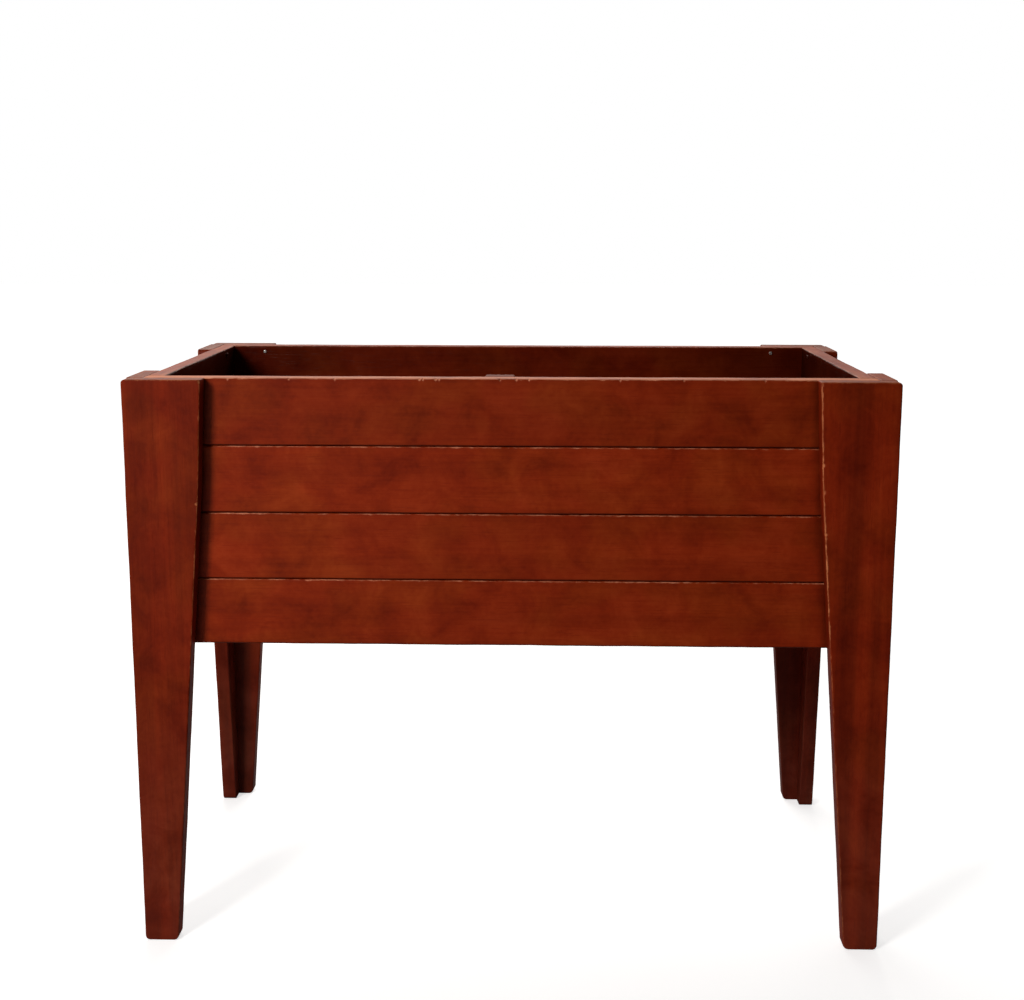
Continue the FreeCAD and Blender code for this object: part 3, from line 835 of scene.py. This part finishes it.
def plated_steel(name, dark, plain, bright):
    """Zinc plating, dulled unevenly and darker in patches."""
    s = Shader(name)
    place = s.add("ShaderNodeTexCoord").outputs["Object"]
    cloud = s.noise(place, grey(900.0), detail=3.0, roughness=0.6)
    fine = s.noise(place, grey(4200.0))
    colour = s.ramp(cloud, [(0.30, dark), (0.52, plain), (0.70, bright)])
    rough = s.math("MULTIPLY_ADD", cloud, 0.24, 0.14)
    normal = s.bump(fine, 0.03 * MM, 0.6)
    return s.finish(Base_Color=colour, Roughness=rough, Normal=normal, Metallic=0.75)


def studio_floor(name):
    """A pale, matt, slightly mottled sweep; it throws little light back at the planter."""
    s = Shader(name)
    place = s.add("ShaderNodeTexCoord").outputs["Object"]
    cloud = s.noise(place, grey(1.3), detail=3.0)
    colour = s.ramp(cloud, [(0.35, grey(0.86)), (0.65, grey(0.90))])
    pale = s.add("ShaderNodeBsdfDiffuse", Color=colour)
    away = s.add("ShaderNodeVectorMath", operation="LENGTH")
    s.tree.links.new(place, away.inputs[0])
    strength = s.between(away.outputs["Value"], *GLOW_DISTANCES, FLOOR_GLOW, FAR_FLOOR_GLOW)
    glow = s.add("ShaderNodeEmission", Color=WHITE, Strength=strength)
    seen = s.add("ShaderNodeAddShader")
    s.tree.links.new(pale.outputs[0], seen.inputs[0])
    s.tree.links.new(glow.outputs[0], seen.inputs[1])
    dull = s.add("ShaderNodeBsdfDiffuse", Color=(*grey(FLOOR_BOUNCE), 1.0))
    path = s.add("ShaderNodeLightPath")
    mix = s.add("ShaderNodeMixShader")
    s.tree.links.new(path.outputs["Is Camera Ray"], mix.inputs[0])
    s.tree.links.new(dull.outputs[0], mix.inputs[1])
    s.tree.links.new(seen.outputs[0], mix.inputs[2])
    s.add("ShaderNodeOutputMaterial", Surface=mix.outputs[0])
    return s.material


WALL_STAIN = stained_timber(
    "wall_stain", shadow=(0.205, 0.0150, 0.0018), stain=(0.305, 0.0270, 0.0036),
    glow=(0.385, 0.0410, 0.0068), worn_and_painted_light_colour=(0.85, 0.31, 0.17), roughness=0.46, bands=0.08,
)
LEG_STAIN = stained_timber(
    "leg_stain", shadow=(0.195, 0.0130, 0.0016), stain=(0.295, 0.0235, 0.0032),
    glow=(0.375, 0.0360, 0.0058), worn_and_painted_light_colour=(0.76, 0.25, 0.10), roughness=0.48, bands=0.30,
)
FLOOR_STAIN = stained_timber(
    "floor_stain", shadow=(0.14, 0.0120, 0.0030), stain=(0.22, 0.0220, 0.0055),
    glow=(0.30, 0.0380, 0.0100), worn_and_painted_light_colour=(0.50, 0.18, 0.09), roughness=0.62, bands=0.15,
)
STEEL = plated_steel("plated_steel", grey(0.66), (0.90, 0.88, 0.84), grey(0.96))
# The end walls' screws are made dark: painted shade, as they sit in the shade inside the end
# walls.
PAINTED_SHADE_STEEL = plated_steel("painted_shade_steel", (0.06, 0.008, 0.003), (0.10, 0.014, 0.005),
                             (0.20, 0.060, 0.040))


def finish_piece(piece, node):
    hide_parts(node)
    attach(piece, "root")


def nicks(corner, *places):
    """Nicks on one arris of a board, each given as (place along, half length, depth) in mm."""
    return [
        {"along": along * MM, "corner": corner, "size": size * MM, "reach": CHIP_REACH,
         "depth": depth * MM}
        for along, size, depth in places
    ]


# The front rim's outer arris is nicked all along, and the front legs' inner ones in a few places.
CHIPS = {
    "front_wall_board_top": nicks(
        1, (-105, 2.2, 0.6), (-101, 1.6, 0.9), (-86, 2.6, 0.8), (-82, 1.6, 0.6), (-11, 1.8, 1.4),
        (8, 2.2, 0.9), (23, 1.6, 0.6), (-204, 1.8, 0.6), (-258, 1.6, 0.5), (129, 1.8, 0.7),
        (203, 2.0, 0.6), (297, 1.8, 0.7), (-330, 1.8, 0.5),
    ),
    "front_left_leg_front_board": nicks(1, (698, 3.5, 1.2), (553, 2.4, 0.7)),
    "front_right_leg_front_board": nicks(
        0, (697, 3.5, 1.4), (603, 3.0, 0.9), (571, 4.0, 1.1), (521, 2.4, 0.7),
    ),
}


def make_wall_board(node, axes, seed, is_top, outside_is_low, inside, rim_thinning_and_sheen):
    rim = 1.0 if is_top else 0.0
    # A negative wear is painted shade along a board's lower seam.
    outer_low, outer_high = OUTER_SEAM_PAINTED_SHADE, max(rim, SEAM_WEAR)
    inner_high, inner_low = INSIDE_RIM_WEAR * rim, INSIDE_SEAM_PAINTED_SHADE
    outside = PALER_BOARDS.get(node, 1.0)
    if outside_is_low:
        wear_and_painted_light = (outer_low, outer_high, inner_high, inner_low)
        tone_and_painted_shade = (outside, inside)
    else:
        wear_and_painted_light = (inner_low, inner_high, outer_high, outer_low)
        tone_and_painted_shade = (inside, outside)
    board = WallBoard(node, axes, seed, wear_and_painted_light, BOARD_END_WEAR, tone_and_painted_shade, CHIPS.get(node, ()))
    board.top_wear_and_sheen = rim_thinning_and_sheen * rim
    finish_piece(board.build(WALL_STAIN, seats_in(node)), node)


def make_walls():
    for number, side in enumerate(SIDES):
        is_long = side in ("front", "rear")
        axes = (X, Z, Y) if is_long else (Y, Z, X)
        outside_is_low = side in ("front", "left")
        # The inner faces are painted darker: painted shade, deepest on the end walls.
        inside = INSIDE_PAINTED_SHADE if is_long else END_INSIDE_PAINTED_SHADE
        thinning_and_sheen = FRONT_RIM_THINNING_AND_SHEEN if side == "front" else OTHER_RIM_THINNING_AND_SHEEN
        for tier, label in enumerate(TIERS):
            make_wall_board(f"{side}_wall_board_{label}", axes, 100 + 10 * number + tier,
                            tier == 0, outside_is_low, inside, thinning_and_sheen)


def make_leg_board(end, hand, kind, seed):
    node = f"{end}_{hand}_leg_{kind}_board"
    is_face_board = kind != "side"
    if is_face_board:
        axes = (Z, X, Y)
        inner_is_high, outside_is_low = hand == "left", end == "front"
    else:
        axes = (Z, Y, X)
        inner_is_high, outside_is_low = end == "front", hand == "left"
    # The lit leg's inner arris: wear with a painted highlight.
    inner = WORN_AND_LIT_LEG_WEAR if node == WORN_AND_LIT_LEG else LEG_INNER_WEAR
    outer, back = LEG_OUTER_WEAR, LEG_BACK_WEAR
    low, high = (outer, inner) if inner_is_high else (inner, outer)
    wear_and_painted_light = (low, high, back, back) if outside_is_low else (back, back, high, low)
    inside = LEG_INSIDE_PAINTED_SHADE[end]
    tone_and_painted_shade = (1.0, inside) if outside_is_low else (inside, 1.0)
    board = LegBoard(node, axes, seed, inner_is_high, is_face_board, wear_and_painted_light=wear_and_painted_light,
                     end_wear=LEG_END_WEAR, tone_and_painted_shade=tone_and_painted_shade, chips=CHIPS.get(node, ()))
    # Painted shade on the rear legs' edges.
    board.edge_painted_shade = LEG_EDGE_PAINTED_SHADE[end]
    board.end_thinning_and_sheen = LEG_END_THINNING_AND_SHEEN
    board.dust_height = DUST_HEIGHT
    finish_piece(board.build(LEG_STAIN, seats_in(node)), node)


def make_legs():
    seed = 200
    for end in ("front", "rear"):
        for hand in ("left", "right"):
            for kind in (end, "side"):
                seed += 1
                make_leg_board(end, hand, kind, seed)


def make_inner_timber():
    """The battens and cleats on the long walls, and the floor's slats."""
    inner = {f"{side}_centre_batten": (Z, X, Y) for side in ("front", "rear")}
    inner.update({f"{side}_floor_cleat": (X, Z, Y) for side in ("front", "rear")})
    slats = sorted(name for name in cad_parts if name.startswith("floor_slat"))
    inner.update({name: (Y, X, Z) for name in slats})
    for number, (node, axes) in enumerate(inner.items()):
        board = Board(node, axes, 300 + number, (FLOOR_WEAR,) * 4, FLOOR_END_WEAR,
                      (FLOOR_PAINTED_LIGHT,) * 2)
        board.end_thinning_and_sheen = BATTEN_END_THINNING_AND_SHEEN if axes[0] == Z else 0.0
        finish_piece(board.build(FLOOR_STAIN, seats_in(node)), node)


def add_screw(shape, screw):
    """A head and a threaded, pointed shank as one closed turned solid."""
    head, shank = screw.head_radius, screw.shank_radius
    height = screw.head_height
    if screw.is_round:
        steps = [(0.0, head * 0.30), (height * 0.03, head * 0.62), (height * 0.22, head * 0.88),
                 (height * 0.52, head * 0.985), (height * 0.80, head), (height, head * 0.97),
                 (height * 1.001, shank)]
    else:
        steps = [(0.0, head * 0.93), (0.12 * MM, head * 0.985), (0.3 * MM, head),
                 (height + 0.2 * MM, shank)]
    core = shank * THREAD_CORE
    place = steps[-1][0] + PLAIN_SHANK
    steps.append((place - 0.2 * MM, shank * 0.98))
    while place < screw.length - THREADLESS_TIP:
        narrow = min(1.0, (screw.length - place) / TAPERED_TIP)
        steps.append((place, core * narrow))
        steps.append((place + 0.45 * THREAD_PITCH, core * narrow))
        steps.append((place + 0.60 * THREAD_PITCH, shank * narrow))
        steps.append((place + 0.75 * THREAD_PITCH, core * narrow))
        place += THREAD_PITCH
    steps.append((screw.length, TIP_RADIUS))
    add_turned(shape, screw.top, screw.direction, steps)


def add_cross(shape, screw):
    """A screw's cross recess, as one tapered solid that starts just above the head."""
    reach, half, depth = ROUND_RECESS if screw.is_round else SUNK_RECESS
    turn = screw.direction.to_track_quat("Z", "Y").to_matrix()
    outline = []
    for quarter in range(4):
        c, s = round(math.cos(quarter * math.pi / 2)), round(math.sin(quarter * math.pi / 2))
        for x, y in ((reach, -half), (reach, half), (half, half)):
            outline.append((c * x - s * y, s * x + c * y))
    top, bottom = [
        [shape.verts.new(screw.top + turn @ Vector((x * part, y * part, distance)))
         for x, y in outline]
        for distance, part in ((-0.5 * MM, 1.0), (depth, 0.6))
    ]
    for index in range(len(outline)):
        after = (index + 1) % len(outline)
        shape.faces.new((top[index], top[after], bottom[after], bottom[index]))
    shape.faces.new(list(reversed(top)))
    shape.faces.new(bottom)


def make_screws():
    for node, screws in SCREWS.items():
        shape, recesses = bmesh.new(), bmesh.new()
        for screw in screws:
            add_screw(shape, screw)
            add_cross(recesses, screw)
        bmesh.ops.recalc_face_normals(shape, faces=shape.faces)
        mesh = bpy.data.meshes.new(f"{node}_steel")
        shape.to_mesh(mesh)
        shape.free()
        piece = link_piece(f"{node}_steel", mesh)
        cut(piece, recesses)
        point_outwards(piece.data)
        # The end walls' screws take the painted-shade steel.
        is_in_painted_shade = node.startswith(("left", "right"))
        paint(piece, PAINTED_SHADE_STEEL if is_in_painted_shade else STEEL)
        finish_piece(piece, node)


# The studio.

def make_floor():
    """A wide flat sheet on the ground, divided into squares."""
    shape = bmesh.new()
    bmesh.ops.create_grid(shape, x_segments=FLOOR_SQUARES, y_segments=FLOOR_SQUARES,
                          size=FLOOR_HALF_SIZE)
    mesh = bpy.data.meshes.new("studio_floor")
    shape.to_mesh(mesh)
    shape.free()
    floor = link_piece("studio_floor", mesh)
    mesh.materials.append(studio_floor("studio_floor"))


def make_world():
    """White behind everything; its light is stronger from behind the planter than before it."""
    world = bpy.data.worlds.new("studio")
    bpy.context.scene.world = world
    world.use_nodes = True
    nodes, links = world.node_tree.nodes, world.node_tree.links
    nodes.clear()
    place = nodes.new("ShaderNodeTexCoord")
    split = nodes.new("ShaderNodeSeparateXYZ")
    links.new(place.outputs["Generated"], split.inputs[0])
    level = nodes.new("ShaderNodeMapRange")
    level.interpolation_type = "SMOOTHSTEP"
    level.inputs["From Min"].default_value, level.inputs["From Max"].default_value = WORLD_TURN
    level.inputs["To Min"].default_value = WORLD_FRONT
    level.inputs["To Max"].default_value = WORLD_BACK
    links.new(split.outputs["Y"], level.inputs["Value"])
    lighting = nodes.new("ShaderNodeBackground")
    lighting.inputs["Color"].default_value = WORLD_COLOUR
    links.new(level.outputs["Result"], lighting.inputs["Strength"])
    seen = nodes.new("ShaderNodeBackground")
    seen.inputs["Color"].default_value = WHITE
    seen.inputs["Strength"].default_value = 1.0
    path = nodes.new("ShaderNodeLightPath")
    mix = nodes.new("ShaderNodeMixShader")
    output = nodes.new("ShaderNodeOutputWorld")
    links.new(path.outputs["Is Camera Ray"], mix.inputs[0])
    links.new(lighting.outputs[0], mix.inputs[1])
    links.new(seen.outputs[0], mix.inputs[2])
    links.new(mix.outputs[0], output.inputs["Surface"])


def add_area_light(name, place, aim, size, power):
    light = bpy.data.lights.new(name, "AREA")
    light.shape = "RECTANGLE"
    light.size, light.size_y = size
    light.energy = power
    light.color = LAMP_COLOUR
    lamp = bpy.data.objects.new(name, light)
    bpy.context.scene.collection.objects.link(lamp)
    lamp.location = place
    lamp.rotation_euler = (Vector(aim) - Vector(place)).to_track_quat("-Z", "Y").to_euler()


def make_lights():
    for name, (place, aim, size, power) in LAMPS.items():
        add_area_light(name, place, aim, size, power)


def make_camera():
    data = bpy.data.cameras.new("camera")
    data.sensor_fit = "HORIZONTAL"
    data.sensor_width = CAMERA_SENSOR
    data.lens = CAMERA_LENS
    data.shift_x, data.shift_y = CAMERA_SHIFT
    data.clip_start, data.clip_end = CAMERA_RANGE
    camera = bpy.data.objects.new("camera", data)
    bpy.context.scene.collection.objects.link(camera)
    forward = Vector((
        math.sin(CAMERA_YAW) * math.cos(CAMERA_PITCH),
        math.cos(CAMERA_YAW) * math.cos(CAMERA_PITCH),
        -math.sin(CAMERA_PITCH),
    ))
    level = Vector((math.cos(CAMERA_YAW), -math.sin(CAMERA_YAW), 0.0))
    upright = level.cross(forward)
    right = level * math.cos(CAMERA_ROLL) + upright * math.sin(CAMERA_ROLL)
    up = upright * math.cos(CAMERA_ROLL) - level * math.sin(CAMERA_ROLL)
    turn = Matrix((right, up, -forward)).transposed()
    camera.matrix_world = Matrix.Translation(CAMERA_PLACE) @ turn.to_4x4()
    bpy.context.scene.camera = camera


make_walls()
make_legs()
make_inner_timber()
make_screws()
make_floor()
make_world()
make_lights()
make_camera()
bpy.context.scene.view_settings.view_transform = "Standard"
